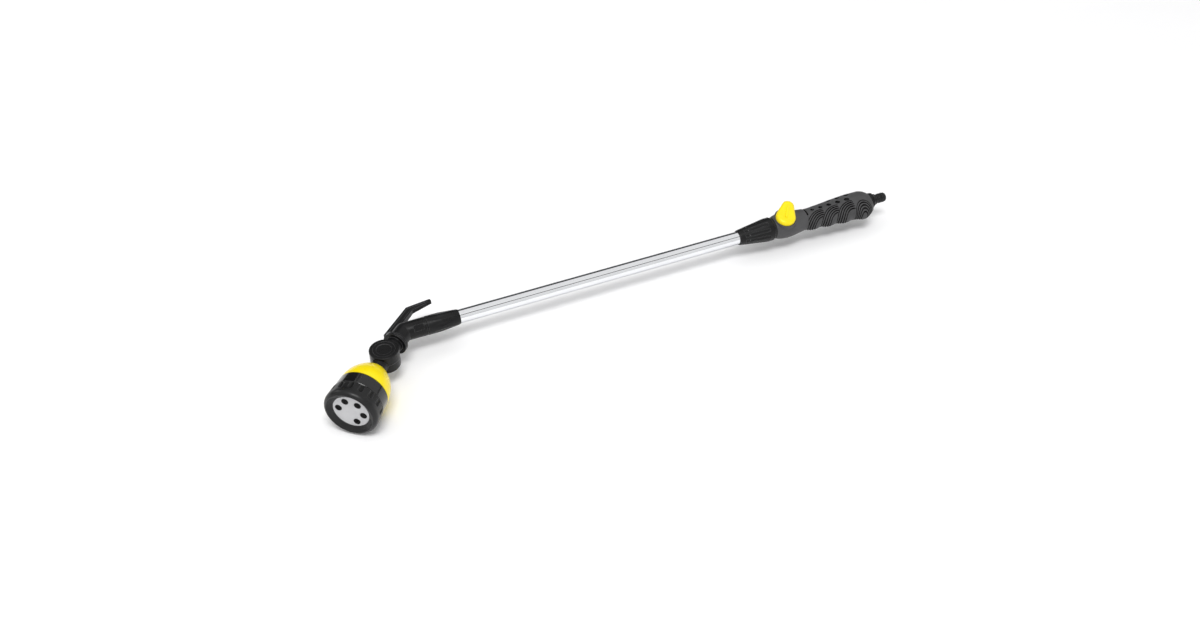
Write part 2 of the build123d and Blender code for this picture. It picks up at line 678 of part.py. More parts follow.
def body_ring():
    lip_x = distributor_face
    inner = bell_rim_r + press_gap
    shell = lathe((ring_x, inner), (lip_x, inner), (lip_x, inner - 2.4), (lip_x + 1.6, inner - 2.4),
                  (lip_x + 1.6, ring_r - 2.4), (ring_face, ring_r - 2.4), (ring_face, ring_r - 0.3),
                  (ring_face - 0.6, ring_r), (ring_face - 3.5, ring_r - 0.1), (ring_x + 1.2, ring_r - 0.8),
                  (ring_x, ring_r - 1.8))
    # a raised pointer of two bars shows which spray is chosen
    bar = block(ring_x + 2.5, ring_face - 1.2, -0.55, 0.55, ring_r - 2.4, ring_r + 0.25)
    marks = Pos(0, -2.0, 0) * bar + Pos(0, 2.0, 0) * bar
    return head_frame * (shell + Rot(X=pointer_angle - 90) * marks)


def distributor():
    port = Pos(0, nozzle_circle_r, 0)
    disc = rod(distributor_x, distributor_face, bell_rim_r)
    boss = rod(bell_front + 1, drum_x - free_gap, 6.4)
    cup = port * rod(distributor_face - 1, drum_x - 1, 5.6)
    cut = port * (rod(distributor_x - 1, drum_x, 3.4) + rod(distributor_face - 1.5, drum_x, 4.6))
    thread = rod(bell_front + 4, drum_x, selector_screw_r - 0.5)
    stiffener = block(distributor_x - 3, distributor_x + 1, 6, 24, -0.9, 0.9)
    stiffeners = around_x(stiffener, 6, port_angle + 30)
    plate = disc + boss + stiffeners - thread
    return head_frame * (plate + Rot(X=port_angle) * cup - Rot(X=port_angle) * cut)


def port_seal():
    seal = Pos(0, nozzle_circle_r, 0) * ring(distributor_face - 1.5, drum_x - free_gap, 3.4, 4.6 - press_gap)
    return head_frame * (Rot(X=port_angle) * seal)


def selector_drum():
    back_disc = rod(drum_x, drum_x + 3, drum_r)
    front_disc = rod(plate_back - 4, plate_back, drum_r)
    hub = rod(drum_x, plate_back, 8.2)
    drum = back_disc + front_disc + hub
    for i in range(nozzle_count):
        drum += on_nozzle_circle(rod(drum_x, plate_back, 5.9), i)
    for i in range(nozzle_count):
        drum -= on_nozzle_circle(rod(drum_x - 1, nozzle_back + 1, 3.4), i)
        drum -= on_nozzle_circle(rod(nozzle_back, plate_back + 1, nozzle_r + press_gap), i)
    drum -= rod(drum_x - 1, plate_back + 1, selector_screw_r + shaft_gap)
    drum -= rod(screw_head_x, plate_back + 1, selector_head_r + 0.5)
    return head_frame * drum


def selector_screw():
    x0 = bell_front + 5
    thread = rod(x0, drum_x - free_gap, selector_screw_r - 0.5 - press_gap)
    shoulder = rod(drum_x - free_gap, screw_head_x + 0.5, selector_screw_r)
    head = rod(screw_head_x + 0.1, screw_head_x + 4, selector_head_r)
    socket = Pos(screw_head_x + 2, 0, 0) * Rot(Y=90) * extrude(RegularPolygon(2.9, 6), 4)
    return head_frame * (thread + shoulder + head - socket)


def bezel():
    widest_x = bezel_face - 8
    outer = Spline((widest_x, bezel_r), (bezel_face - 2.6, bezel_r - 1.3), (bezel_face, bezel_r - 4.4))
    rest = Polyline((bezel_face, bezel_r - 4.4), (bezel_face - 0.7, bezel_r - 5.7),
                    (bezel_face - 2.2, bezel_r - 7.0), (plate_face, plate_r - 0.3),
                    (plate_face, plate_r + 1.2), (plate_back, plate_r + 1.2),
                    (plate_back, drum_r + press_gap), (bezel_x, drum_r + press_gap),
                    (bezel_x, bezel_rear_r - 0.8), (bezel_x + 0.8, bezel_rear_r), (widest_x, bezel_r))
    shell = lathe_edges(outer, rest)
    notch_x = bezel_x + scallop_length
    notch = rod(bezel_x - 1, notch_x, scallop_r) + Pos(notch_x, 0, 0) * Sphere(scallop_r)
    notch = Pos(0, 0, bezel_rear_r + scallop_r - 1.2) * notch
    return head_frame * (shell - around_x(notch, scallop_count))


def face_plate():
    plate = rod(plate_back, plate_face, plate_r + 1.1)
    for i in range(nozzle_count):
        plate -= on_nozzle_circle(rod(plate_back - 1, plate_face + 1, nozzle_r + press_gap), i)
    return head_frame * plate


def nozzle_insert(i, outlet):
    # a cup with its spray outlet at the front and the feed bore behind it
    front = plate_face + 0.5
    cup = rod(nozzle_back, front, nozzle_r) - rod(nozzle_back - 1, front - 1.8, nozzle_r - 1.3)
    return head_frame * on_nozzle_circle(cup - [Pos(front, 0, 0) * hole for hole in outlet], i)


def drilled(count, circle_r, r):
    return [Rot(X=k * 360 / count) * rod(-4, 1, r, circle_r) for k in range(count)]


def spray_outlets():
    annulus = rod(-4, 1, 2.3) - rod(-1.8, 2, 1.5)
    bridge = [block(-4, -1.2, -3, 3, -0.35, 0.35)]
    return {
        "nozzle_jet": [rod(-4, 1, 1.3), lathe((-1, 0), (1, 0), (1, 3.2), (-1, 1.2))],
        "nozzle_shower": drilled(6, 2.2, 0.5) + [rod(-4, 1, 0.5)],
        "nozzle_cone": [annulus - bridge],
        "nozzle_flat": [block(-4, 1, -2.8, 2.8, -0.55, 0.55)],
        "nozzle_mist": drilled(3, 1.6, 0.4) + [rod(-0.7, 1, 2.9)],
    }


# Every piece, by the name of its node

def build_all():
    shell_top, shell_bottom = grip_shells()
    rolled = {
        "hose_connector": hose_connector(),
        "connector_oring": x_oring(barrel_length / 2 + 1.3, groove_r, barrel_r + 0.2),
        "end_collar": end_collar(),
        "water_pipe": water_pipe(),
        "grip_sleeve": grip_sleeve(),
        "grip_shell_upper": shell_top,
        "grip_shell_lower": shell_bottom,
        "grip_screws": grip_screws(),
        "valve_body": valve_body(),
        "valve_seat_inlet": valve_seat(1),
        "valve_seat_outlet": valve_seat(-1),
        "seat_carrier": seat_carrier(),
        "swivel_oring": x_oring(carrier_end_x + 3.65, inner_tube_r + shaft_gap,
                                inner_tube_r + shaft_gap + 1.1),
        "tube_gland": tube_gland(),
        "bumper_ring": ring(bumper_x, valve_front_x, valve_nose_r + press_gap, valve_nose_r + 3.2),
        "flow_knob": flow_knob(),
        "knob_spindle": knob_spindle(),
        "spindle_gland": spindle_gland(),
        "spindle_oring": z_oring(collar_z + 1.35, spindle_collar_r - 1.2, spindle_collar_r, knob_x),
        "valve_ball": valve_ball(),
    }
    straight = {
        "inner_tube": inner_tube(),
        "tube_flange": tube_flange(),
        "tube_piston": tube_piston(),
        "piston_seal": piston_seal(),
        "outer_tube": outer_tube(),
        "clamp_sleeve": clamp_sleeve(),
        "clamp_collet": clamp_collet(),
        "clamp_nut": clamp_nut(),
        "union_nut": union_nut(),
        "tube_seal": tube_seal(),
        "elbow": elbow(),
        "hanging_hook": hanging_hook(),
        "flange_seal": neck_frame * ring(flange_place + flange_thickness,
                                         flange_place + flange_thickness + 0.6,
                                         neck_spigot_r + press_gap, flange_r - 1.6),
        "hub_socket": hub_socket(),
        "hub_knuckle": hub_knuckle(),
        "hub_oring": hub_oring(),
        "hub_bolt": hub_bolt(),
        "hub_nut": hub_nut(),
        "hub_cap_upper": hub_cap(1),
        "hub_cap_lower": hub_cap(-1),
        "bell": bell(),
        "head_seal": head_seal(),
        "body_ring": body_ring(),
        "distributor": distributor(),
        "port_seal": port_seal(),
        "selector_screw": selector_screw(),
        "selector_drum": selector_drum(),
        "bezel": bezel(),
        "face_plate": face_plate(),
    }
    for i, (name, outlet) in enumerate(spray_outlets().items()):
        straight[name] = nozzle_insert(i, outlet)
    nodes = {name: grip_frame * shape for name, shape in rolled.items()}
    nodes.update(straight)
    return nodes


os.makedirs("parts", exist_ok=True)
for node, shape in build_all().items():
    export_step(shape, f"parts/{node}.step")
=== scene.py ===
import bpy
import json
import math
from mathutils import Matrix, Vector


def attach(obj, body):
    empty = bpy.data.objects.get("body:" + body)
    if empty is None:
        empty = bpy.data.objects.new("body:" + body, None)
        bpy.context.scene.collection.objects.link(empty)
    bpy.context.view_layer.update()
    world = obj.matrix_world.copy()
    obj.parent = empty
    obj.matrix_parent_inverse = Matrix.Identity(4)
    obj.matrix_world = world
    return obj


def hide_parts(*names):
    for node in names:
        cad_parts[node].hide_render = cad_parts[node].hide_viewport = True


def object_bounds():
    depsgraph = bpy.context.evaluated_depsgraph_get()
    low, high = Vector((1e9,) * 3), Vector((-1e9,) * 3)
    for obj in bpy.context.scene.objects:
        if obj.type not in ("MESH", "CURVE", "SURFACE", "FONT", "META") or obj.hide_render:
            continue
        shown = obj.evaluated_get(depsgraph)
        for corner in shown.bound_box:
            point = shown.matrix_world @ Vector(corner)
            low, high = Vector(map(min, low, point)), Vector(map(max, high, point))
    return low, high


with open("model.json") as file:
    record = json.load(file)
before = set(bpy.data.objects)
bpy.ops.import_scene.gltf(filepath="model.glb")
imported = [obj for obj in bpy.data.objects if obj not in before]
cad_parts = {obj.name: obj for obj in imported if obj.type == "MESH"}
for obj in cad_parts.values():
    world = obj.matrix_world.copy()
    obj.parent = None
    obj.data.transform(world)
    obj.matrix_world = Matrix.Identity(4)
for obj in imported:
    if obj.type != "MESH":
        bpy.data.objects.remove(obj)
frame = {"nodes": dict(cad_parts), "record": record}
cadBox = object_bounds()
nodes = frame["nodes"]
joints = {joint["name"]: joint for joint in frame["record"]["behaviour"]["joints"]}
print("frame loaded", len(nodes), "nodes")


# helpers for meshes

def mm(value):
    return value / 1000.0


def ease(share):
    share = min(max(share, 0.0), 1.0)
    return share * share * (3 - 2 * share)


def newMesh(name, verts, faces):
    mesh = bpy.data.meshes.new(name)
    mesh.from_pydata(verts, [], faces)
    mesh.update()
    mesh.polygons.foreach_set("use_smooth", [True] * len(mesh.polygons))
    obj = bpy.data.objects.new(name, mesh)
    bpy.context.scene.collection.objects.link(obj)
    return obj


def ringFaces(rings, count):
    # one face between each pair of neighbours on two rings
    return [(row * count + i, row * count + (i + 1) % count, (row + 1) * count + (i + 1) % count,
             (row + 1) * count + i) for row in range(rings - 1) for i in range(count)]


def loftLoops(name, loops):
    # closed loops of the same count, joined one to the next and closed at both ends
    count = len(loops[0])
    verts = [point for loop in loops for point in loop]
    faces = ringFaces(len(loops), count)
    for row in (0, len(loops) - 1):
        middle = sum((Vector(point) for point in loops[row]), Vector()) / count
        verts.append(tuple(middle))
        for i in range(count):
            a, b = row * count + i, row * count + (i + 1) % count
            faces.append((b, a, len(verts) - 1) if row == 0 else (a, b, len(verts) - 1))
    return newMesh(name, verts, faces)


def roundLoop(count):
    return [(math.cos(2 * math.pi * k / count), math.sin(2 * math.pi * k / count)) for k in range(count)]


def evenLoop(loop):
    # spreads the points evenly, so that long flanks have as many as round ends
    points = [Vector(point) for point in loop]
    count = len(points)
    lengths = [(points[(i + 1) % count] - points[i]).length for i in range(count)]
    total, i, run = sum(lengths), 0, 0.0
    out = []
    for k in range(count):
        target = total * k / count
        while run + lengths[i] < target:
            run += lengths[i]
            i += 1
        share = (target - run) / lengths[i]
        out.append(tuple(points[i].lerp(points[(i + 1) % count], share)))
    return out


# helpers for materials; textures in features for each metre, bump depths in mm

textureValues = dict(
    cloud=45, fine=2600, marks=420, haze=25, lines=1800, scratches=900,
    scratchStretch=(0.3, 1, 1), fineDepth=0.05, markDepth=0.12, markStrength=0.12, lineDepth=0.02,
    cloudRough=0.05, markRough=(-0.05, 0.07, 0.45, 0.7),  # added to the roughness, over which noise
    hazeRough=(-0.02, 0.03), scratchRough=(0.0, 0.06, 0.55, 0.75),
    wearSpread=(0.35, 1.0), edgeDot=(0.985, 0.80), sheenRough=0.4)


def treeTools(tree):
    def add(kind, **settings):
        node = tree.nodes.new(kind)
        for key, value in settings.items():
            if key in node.inputs:
                node.inputs[key].default_value = value
            else:
                setattr(node, key, value)
        return node

    def link(out, into):
        tree.links.new(out, into)

    return add, link


def newMaterial(name):
    material = bpy.data.materials.new(name)
    material.use_nodes = True
    return material, material.node_tree.nodes["Principled BSDF"], *treeTools(material.node_tree)


def noiseAt(add, link, coord, scale, detail=4.0, rough=0.55, stretch=None):
    # scale is in features for each metre, stretched along an axis where asked
    if stretch:
        mapping = add("ShaderNodeMapping", Scale=stretch)
        link(coord, mapping.inputs["Vector"])
        coord = mapping.outputs["Vector"]
    noise = add("ShaderNodeTexNoise", Scale=scale, Detail=detail, Roughness=rough)
    link(coord, noise.inputs["Vector"])
    return noise.outputs["Fac"]


def remap(add, link, value, low, high, fromLow=0.3, fromHigh=0.7):
    node = add("ShaderNodeMapRange")
    for key, number in zip(("From Min", "From Max", "To Min", "To Max"), (fromLow, fromHigh, low, high)):
        node.inputs[key].default_value = number
    link(value, node.inputs["Value"])
    return node.outputs["Result"]


def combine(add, link, operation, first, second):
    node = add("ShaderNodeMath", operation=operation)
    link(first, node.inputs[0])
    link(second, node.inputs[1])
    return node.outputs[0]


def mixColour(add, link, factor, first, second):
    # either colour may be three numbers or another node's output
    node = add("ShaderNodeMix", data_type="RGBA")
    link(factor, node.inputs[0])
    for place, colour in ((6, first), (7, second)):
        if isinstance(colour, tuple):
            node.inputs[place].default_value = (*colour, 1)
        else:
            link(colour, node.inputs[place])
    return node.outputs[2]


def addBump(add, link, height, strength, distance, normal=None):
    bump = add("ShaderNodeBump", Strength=strength, Distance=mm(distance))
    link(height, bump.inputs["Height"])
    if normal is not None:
        link(normal, bump.inputs["Normal"])
    return bump.outputs["Normal"]


def edgeMask(add, link, radius):
    # 1 along edges, where the rounded normal leaves the true one
    bevel = add("ShaderNodeBevel", samples=4, Radius=radius)
    dot = add("ShaderNodeVectorMath", operation="DOT_PRODUCT")
    link(bevel.outputs["Normal"], dot.inputs[0])
    link(add("ShaderNodeNewGeometry").outputs["Normal"], dot.inputs[1])
    mask = remap(add, link, dot.outputs["Value"], 0.0, 1.0, *textureValues["edgeDot"])
    return mask, bevel.outputs["Normal"]


def paintedNotchShade(add, link, coord, colour, notch):
    # painted shade: near-black on the notch floors, which lie closer to the head's axis than the rim, stands
    # in for the shade that falls in the notches
    place = add("ShaderNodeVectorMath", operation="SUBTRACT")
    link(coord, place.inputs[0])
    place.inputs[1].default_value = notch["hub"]
    along = add("ShaderNodeVectorMath", operation="DOT_PRODUCT")
    off = add("ShaderNodeVectorMath", operation="CROSS_PRODUCT")
    for node in (along, off):
        link(place.outputs["Vector"], node.inputs[0])
        node.inputs[1].default_value = notch["axis"]
    away = add("ShaderNodeVectorMath", operation="LENGTH")
    link(off.outputs["Vector"], away.inputs[0])
    start, end, blur = notch["start"], notch["end"], notch["blur"]
    deep = remap(add, link, away.outputs["Value"], 1, 0, mm(notch["floor"]), mm(notch["rim"]))
    back = remap(add, link, along.outputs["Value"], 0, 1, mm(start), mm(start + blur))
    front = remap(add, link, along.outputs["Value"], 1, 0, mm(end), mm(end + 2 * blur))
    mask = combine(add, link, "MULTIPLY", combine(add, link, "MULTIPLY", back, front), deep)
    return mixColour(add, link, mask, colour, notch["colour"])


def plasticMaterial(name, values):
    # moulded plastic: fine grain, cloudy roughness, handled marks and paler worn edges
    material, shader, add, link = newMaterial(name)
    t = textureValues
    coord = add("ShaderNodeTexCoord").outputs["Object"]
    cloud = noiseAt(add, link, coord, t["cloud"], 3)
    fine = noiseAt(add, link, coord, values.get("grainScale", t["fine"]), 2, 0.5)
    marks = noiseAt(add, link, coord, t["marks"], 6, 0.7)
    worn, rounded = edgeMask(add, link, mm(values["edge"]))
    patchy = combine(add, link, "MULTIPLY", worn, remap(add, link, cloud, *t["wearSpread"]))
    base = mixColour(add, link, remap(add, link, cloud, 0, 1), values["colour"], values["shade"])
    finish = mixColour(add, link, patchy, base, values["wear"])
    # painted shade on the notch floors, for materials that ask for it
    if "notch" in values:
        finish = paintedNotchShade(add, link, coord, finish, values["notch"])
    link(finish, shader.inputs["Base Color"])
    cloudRough = remap(add, link, cloud, values["rough"] - t["cloudRough"], values["rough"] + t["cloudRough"])
    markRough = remap(add, link, marks, *t["markRough"])
    link(combine(add, link, "ADD", cloudRough, markRough), shader.inputs["Roughness"])
    grain = addBump(add, link, fine, values["grain"], t["fineDepth"], rounded)
    link(addBump(add, link, marks, t["markStrength"], t["markDepth"], grain), shader.inputs["Normal"])
    shader.inputs["Specular IOR Level"].default_value = values.get("shine", 0.25)
    shader.inputs["Coat Weight"].default_value = values.get("coat", 0.0)
    shader.inputs["Coat Roughness"].default_value = values.get("coatRough", 0.12)
    shader.inputs["Sheen Weight"].default_value = values.get("sheen", 0.0)
    shader.inputs["Sheen Roughness"].default_value = t["sheenRough"]
    return material


def metalMaterial(name, values):
    # drawn or turned metal: long fine lines, faint haze and small scratches
    material, shader, add, link = newMaterial(name)
    t = textureValues
    coord = add("ShaderNodeTexCoord").outputs["Object"]
    haze = noiseAt(add, link, coord, t["haze"], 4)
    lines = noiseAt(add, link, coord, t["lines"], 3, 0.6, values["lineStretch"])
    scratch = noiseAt(add, link, coord, t["scratches"], 8, 0.75, t["scratchStretch"])
    base = mixColour(add, link, remap(add, link, haze, 0, 1), values["colour"], values["shade"])
    link(base, shader.inputs["Base Color"])
    low, high = t["hazeRough"]
    hazeRough = remap(add, link, haze, values["rough"] + low, values["rough"] + high)
    scratchRough = remap(add, link, scratch, *t["scratchRough"])
    link(combine(add, link, "ADD", hazeRough, scratchRough), shader.inputs["Roughness"])
    link(addBump(add, link, lines, values["lineBump"], t["lineDepth"]), shader.inputs["Normal"])
    shader.inputs["Metallic"].default_value = 1.0
    shader.inputs["Specular Tint"].default_value = (*values["edgeTint"], 1)
    return material


def dress(obj, material):
    obj.data.materials.clear()
    obj.data.materials.append(material)


# finishes: colour and shade mix in clouds, wear shows on edges of the given width in mm

plastics = {
    "soft_grip": dict(colour=(0.050, 0.050, 0.051), shade=(0.064, 0.064, 0.066), wear=(0.16, 0.16, 0.16),
                      rough=0.62, grain=0.35, grainScale=3200, sheen=0.12, edge=0.3),
    "black_plastic": dict(colour=(0.0045, 0.0045, 0.0047), shade=(0.0085, 0.0085, 0.009),
                          wear=(0.16, 0.16, 0.165), rough=0.34, grain=0.3, edge=1.0, shine=0.22),
    "grey_plastic": dict(colour=(0.058, 0.058, 0.060), shade=(0.074, 0.074, 0.076), wear=(0.15, 0.15, 0.15),
                         rough=0.50, grain=0.3, edge=0.5),
    "gloss_black": dict(colour=(0.003, 0.003, 0.0032), shade=(0.006, 0.006, 0.0064), wear=(0.12, 0.12, 0.12),
                        rough=0.2, grain=0.05, coat=0.5, coatRough=0.06, edge=0.5),
    "yellow_plastic": dict(colour=(0.87, 0.67, 0.0), shade=(0.92, 0.74, 0.002), wear=(1.0, 0.88, 0.06),
                           rough=0.34, grain=0.12, coat=0.25, coatRough=0.2, edge=0.5),
    "plate_grey": dict(colour=(0.50, 0.50, 0.51), shade=(0.56, 0.56, 0.57), wear=(0.74, 0.74, 0.74),
                       rough=0.38, grain=0.18, edge=0.25),
    "nozzle_rubber": dict(colour=(0.004, 0.004, 0.004), shade=(0.008, 0.008, 0.008), wear=(0.03, 0.03, 0.03),
                          rough=0.6, grain=0.4, edge=0.2, shine=0.08),
    "seal_rubber": dict(colour=(0.010, 0.010, 0.010), shade=(0.016, 0.016, 0.016), wear=(0.03, 0.03, 0.03),
                        rough=0.60, grain=0.4, edge=0.2),
    "seat_white": dict(colour=(0.72, 0.72, 0.68), shade=(0.78, 0.78, 0.75), wear=(0.85, 0.85, 0.82),
                       rough=0.40, grain=0.1, edge=0.3),
    # painted shade: near-black finishes for the floors of the grip's holes, thumb slot and grooves
    "holePaintedShade": dict(colour=(0.001, 0.001, 0.001), shade=(0.002, 0.002, 0.002), wear=(0.003, 0.003, 0.003),
                     rough=0.9, grain=0.25, edge=0.1, shine=0.02),
    "ribPaintedShade": dict(colour=(0.003, 0.003, 0.003), shade=(0.006, 0.006, 0.006), wear=(0.01, 0.01, 0.01),
                    rough=0.8, grain=0.25, edge=0.1, shine=0.05),
    "bezelBlack": dict(colour=(0.009, 0.009, 0.0094), shade=(0.014, 0.014, 0.0146), wear=(0.18, 0.18, 0.18),
                       rough=0.36, grain=0.25, edge=0.9, shine=0.28,
                       # painted shade: near-black colour on the bezel's notch floors
                       notch=dict(hub=joints["head_tilt"]["pos_m"], axis=joints["selector_turn"]["axis"],
                                  floor=33.9, rim=34.6, start=85.9, end=98.6, blur=0.3,
                                  colour=(0.001, 0.001, 0.001))),
}
metals = {
    "tube_aluminium": dict(colour=(0.88, 0.89, 0.91), shade=(0.84, 0.85, 0.87), rough=0.09,
                           lineStretch=(0.02, 1, 1), lineBump=0.05, edgeTint=(0.28, 0.28, 0.30)),
    "ball_metal": dict(colour=(0.74, 0.60, 0.34), shade=(0.68, 0.54, 0.30), rough=0.15,
                       lineStretch=(1, 1, 1), lineBump=0.06, edgeTint=(0.8, 0.8, 0.8)),
    "screw_steel": dict(colour=(0.60, 0.60, 0.62), shade=(0.52, 0.52, 0.54), rough=0.28,
                        lineStretch=(1, 1, 1), lineBump=0.06, edgeTint=(0.8, 0.8, 0.8)),
}
materials = {name: plasticMaterial(name, values) for name, values in plastics.items()}
materials.update({name: metalMaterial(name, values) for name, values in metals.items()})
for part in frame["record"]["subparts"]:
    dress(nodes[part["node"]], materials[part["material_slot"]])
dress(nodes["bezel"], materials["bezelBlack"])
print("materials on CAD nodes")


# grip sleeve, in the handle's own frame, which is rolled about the tube

gripRoll = math.radians(17)
sleeveValues = dict(
    front=-135.0, length=115.0, wall=2.2,
    rows=430, around=300,  # mesh rows along the grip and points round it
    palm=(15.0, 20.5), finger=(16.6, 25.2), flank=(15.4, 17.4),  # from the tube axis, front and back
    palmRise=0.75,  # share of the length over which the palm swells
    endStart=0.86, endTaper=0.34,  # the back end draws in from here by this share
    frontRound=(0.5, 3), backRound=(1.1, 5),  # how far the end edges draw in, and over how many rows
    lobes=(0.09, 0.315, 0.54, 0.83), lobeHeight=2.9, lobeHalf=0.125,
    holeRows=(-77, -40, 0, 40, 77), holeCount=5, holeR=2.1, holeGrow=0.12, holeStretch=1.4,
    firstHole=13.0, pitch=14.03, pitchGrow=0.05, stagger=0.4, holeDepth=2.1, holeReach=5,
    holeEdge=(0.15, 0.3), holeLip=(0.8, 0.7), lipDepth=0.15,  # where each edge starts and its width
    holePaintedShade=1.1, ribPaintedShade=0.5,  # dents deeper than these take near-black painted shade, for holes and for grooves
    arch=dict(shift=13.5, reach=28.0, height=29.0, inner=0.34, stop=0.3, pitch=3.4),
    lastArch=dict(shift=-1.5, reach=15.0, height=24.0, inner=0.16, stop=1.0, pitch=2.55),
    ribDepth=1.0, ribArm=19.0, ribEdge=1.03, ribFades=(0.12, 0.03, 0.25), ribPower=1.3,
    slotDepth=1.8, slotWidth=2.6, slotAngle=106.0, slotEdge=0.35, slotEnd=1.5)


def gripPoint(x, y, z):
    return (mm(x), mm(y * math.cos(gripRoll) - z * math.sin(gripRoll)),
            mm(y * math.sin(gripRoll) + z * math.cos(gripRoll)))


def between(ends, share):
    return ends[0] + (ends[1] - ends[0]) * share


def sleeveSection(share, v):
    # half height, middle and flank of the oval at this place along the grip
    rise = 0.5 - 0.5 * math.cos(min(share / v["palmRise"], 1) * math.pi)
    near = min(abs(share - place) for place in v["lobes"]) / v["lobeHalf"]
    lobe = 0.5 + 0.5 * math.cos(min(near, 1) * math.pi)
    palm = between(v["palm"], rise)
    finger = between(v["finger"], share) + v["lobeHeight"] * lobe
    end = max(share - v["endStart"], 0) / (1 - v["endStart"])
    taper = 1 - v["endTaper"] * end ** 2
    return (palm + finger) / 2 * taper, (palm - finger) / 2 * taper, between(v["flank"], share) * taper


def holePlaces(v):
    # rows of drain holes, larger and wider apart towards the hose
    places = []
    for row, angle in enumerate(v["holeRows"]):
        x = v["front"] + v["firstHole"] + v["stagger"] * v["pitch"] * (row % 2)
        for step in range(v["holeCount"]):
            places.append((x, angle, v["holeR"] * (1 + v["holeGrow"] * step)))
            x += v["pitch"] * (1 + v["pitchGrow"] * step)
    return places


def ribDent(x, angle, v):
    # nested arches over each finger lobe; each set runs under the set nearer the hose
    climb = math.radians(180 - abs(angle)) * v["ribArm"]
    inFade, outFade, topFade = v["ribFades"]
    dent = 0.0
    for place in v["lobes"]:
        arch = v["lastArch"] if place == v["lobes"][-1] else v["arch"]
        along = (x - v["front"] - place * v["length"] - arch["shift"]) / arch["reach"]
        size = math.hypot(along, climb / arch["height"])
        if size > v["ribEdge"] or along > arch["stop"]:
            continue
        wave = 0.5 + 0.5 * math.cos(2 * math.pi * (size - 1) * arch["reach"] / arch["pitch"])
        fade = ease((size - arch["inner"]) / inFade) * ease((v["ribEdge"] - size) / outFade)
        if arch is v["arch"]:
            fade *= ease((arch["stop"] - along) / topFade)
        dent = -v["ribDepth"] * fade * wave ** v["ribPower"]
    return dent


def sleeveDent(x, angle, radius, holes, v):
    dent = ribDent(x, angle, v)
    (edge, edgeWidth), (lip, lipWidth) = v["holeEdge"], v["holeLip"]
    for holeX, holeAngle, holeR in holes:
        turn = math.radians((angle - holeAngle + 180) % 360 - 180) * radius
        if abs(turn) > v["holeReach"] or abs(x - holeX) > v["holeReach"]:
            continue
        off = math.hypot((x - holeX) / v["holeStretch"], turn) - holeR
        dent = min(dent, -v["holeDepth"] * ease((edge - off) / edgeWidth)
                   - v["lipDepth"] * ease((lip - off) / lipWidth))
    if abs(angle) < v["slotAngle"]:  # thumb slot across the palm at the front
        dent = min(dent, -v["slotDepth"] * ease((v["front"] + v["slotWidth"] - x) / v["slotEdge"])
                   * ease((v["slotAngle"] - abs(angle)) / v["slotEnd"]))
    return dent


def drawnIn(rowsAway, edge):
    depth, rows = edge
    return depth * (1 - ease(rowsAway / rows))


def makeSleeve(v):
    holes = holePlaces(v)
    rows, around = v["rows"], v["around"]
    verts, kindAt = [], []  # kind 0 is the grip's own finish, 1 a hole's painted shade and 2 a groove's painted shade
    for row in range(-1, rows + 2):
        share = min(max(row / rows, 0), 1)
        x = v["front"] + share * v["length"]
        half, middle, flank = sleeveSection(share, v)
        inward = v["wall"] if row in (-1, rows + 1) else 0  # the first and last rings turn inside
        soften = drawnIn(share * rows, v["frontRound"]) + drawnIn((1 - share) * rows, v["backRound"])
        for c, s in roundLoop(around):
            y, z = middle + half * c, flank * s
            radius = math.hypot(y, z)
            dent = 0 if inward else sleeveDent(x, math.degrees(math.atan2(z, y)), radius, holes, v)
            size = (radius + dent - inward - soften) / radius
            verts.append(gripPoint(x, y * size, z * size))
            kindAt.append(1 if dent < -v["holePaintedShade"] else 2 if dent < -v["ribPaintedShade"] else 0)
    faces = [(a, d, c, b) for a, b, c, d in ringFaces(rows + 3, around)]
    sleeve = newMesh("gripSleeve", verts, faces)
    dress(sleeve, materials["soft_grip"])
    # holes, thumb slot and grooves take painted shade on their floors
    sleeve.data.materials.append(materials["holePaintedShade"])
    sleeve.data.materials.append(materials["ribPaintedShade"])
    for face in sleeve.data.polygons:
        kinds = [kindAt[i] for i in face.vertices]
        face.material_index = 1 if kinds.count(1) >= 2 else 2 if kinds.count(2) >= 2 else 0
    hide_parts("grip_sleeve")
    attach(sleeve, "handle")


makeSleeve(sleeveValues)
print("grip sleeve")


# flow knob: an egg-shaped lever over a round base, with a raised pointer rib

knobValues = dict(
    x=-170.6, turned=37.0, points=120,
    baseR=14.6, tipR=9.0, reach=30.3, leastTip=0.6,
    base=((16.3, 0.4), (16.7, 0.0), (19.3, 0.0)), basePoints=90,  # height and how far it draws in
    lever=((19.1, 0.7), (19.35, 0.15), (19.8, 0.0), (21.0, 0.0), (21.15, 0.35), (21.3, 0.45), (21.5, 0.42),
           (22.4, 0.9), (23.1, 1.9), (23.6, 3.2), (23.8, 4.6), (23.72, 6.0), (23.55, 7.2)),
    rib=((23.3, 0.0), (24.6, 0.05), (25.0, 0.35), (25.2, 0.9)), ribPoints=60,
    ribHalf=2.1, ribFrom=-4.0, ribTo=19.5)


def eggLoop(z, inset, v):
    # base circle, straight flanks and a round tip, all drawn in by the inset
    r, tip, reach = v["baseR"] - inset, max(v["tipR"] - inset, v["leastTip"]), v["reach"] - inset
    tipY = reach - tip
    lean = (r - tip) / tipY
    return evenLoop([(r * c, r * s, z) if s < lean else (tip * c, tipY + tip * s, z)
                     for c, s in roundLoop(v["points"])])


def baseLoop(z, inset, v):
    r = v["baseR"] - inset
    return [(r * c, r * s, z) for c, s in roundLoop(v["basePoints"])]


def ribLoop(z, inset, v):
    half, near, far = v["ribHalf"] - inset, v["ribFrom"] + v["ribHalf"], v["ribTo"] - v["ribHalf"]
    return [(half * c, (far if s >= 0 else near) + half * s, z) for c, s in roundLoop(v["ribPoints"])]


